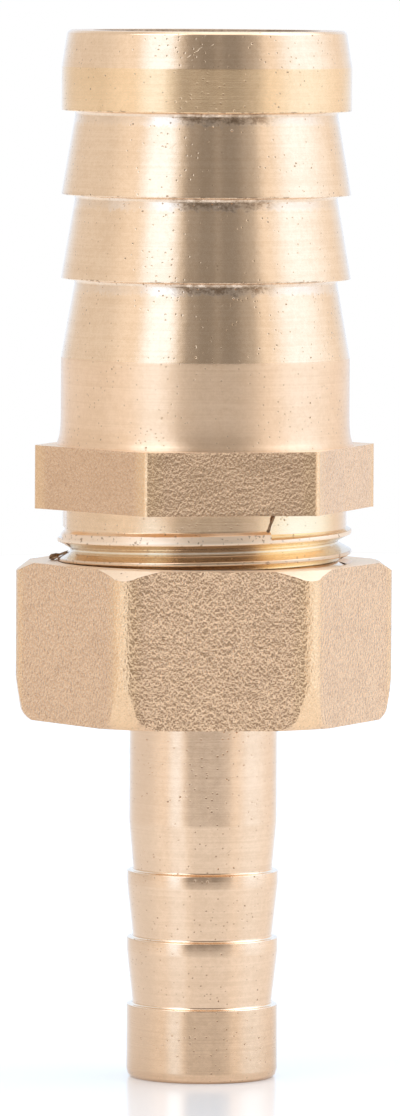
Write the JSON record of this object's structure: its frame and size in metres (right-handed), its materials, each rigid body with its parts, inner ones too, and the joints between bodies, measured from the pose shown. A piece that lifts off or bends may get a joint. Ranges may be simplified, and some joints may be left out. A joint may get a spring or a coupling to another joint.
{
  "type": "hose reducer connector",
  "caption": "Brass union that joins a wide barbed hose tail to a narrow one: hexagon, male pipe thread, union nut, flanged tail and flat sealing washer.",
  "frame": {"origin": "centre of the small tail's open end, which the connector stands on", "axes": "+Z along the water way, up towards the large tail's open end; two flats of the large tail's hexagon face -Y and +Y"},
  "size_m": [0.0338, 0.0314, 0.0943],
  "materials": {
    "turned_brass": "bright turned brass with fine lathe lines, on a blasted forged hexagon",
    "forged_brass": "hot forged and blasted, matt and grainy, with a turned top chamfer",
    "washer_rubber": "matt black moulded rubber"
  },
  "bodies": {
    "large_tail": {"large_hose_tail": "turned_brass"},
    "washer": {"sealing_washer": "washer_rubber"},
    "nut": {"union_nut": "forged_brass"},
    "small_tail": {"small_hose_tail": "turned_brass"}
  },
  "joints": [
    {"name": "union_open", "type": "slide", "parent": "large_tail", "child": "washer", "axis": [0, 0, -1], "range_m": [0, 0.00545]},
    {"name": "nut_turn", "type": "hinge", "parent": "washer", "child": "nut", "pos_m": [0, 0, 0.0395], "axis": [0, 0, -1], "range_deg": [0, 1080]},
    {"name": "tail_swivel", "type": "hinge", "parent": "washer", "child": "small_tail", "pos_m": [0, 0, 0.0382], "axis": [0, 0, 1], "continuous": true}
  ],
  "couplings": [
    {"joint": "union_open", "follows": "nut_turn", "m_per_rad": 0.00028871}
  ]
}
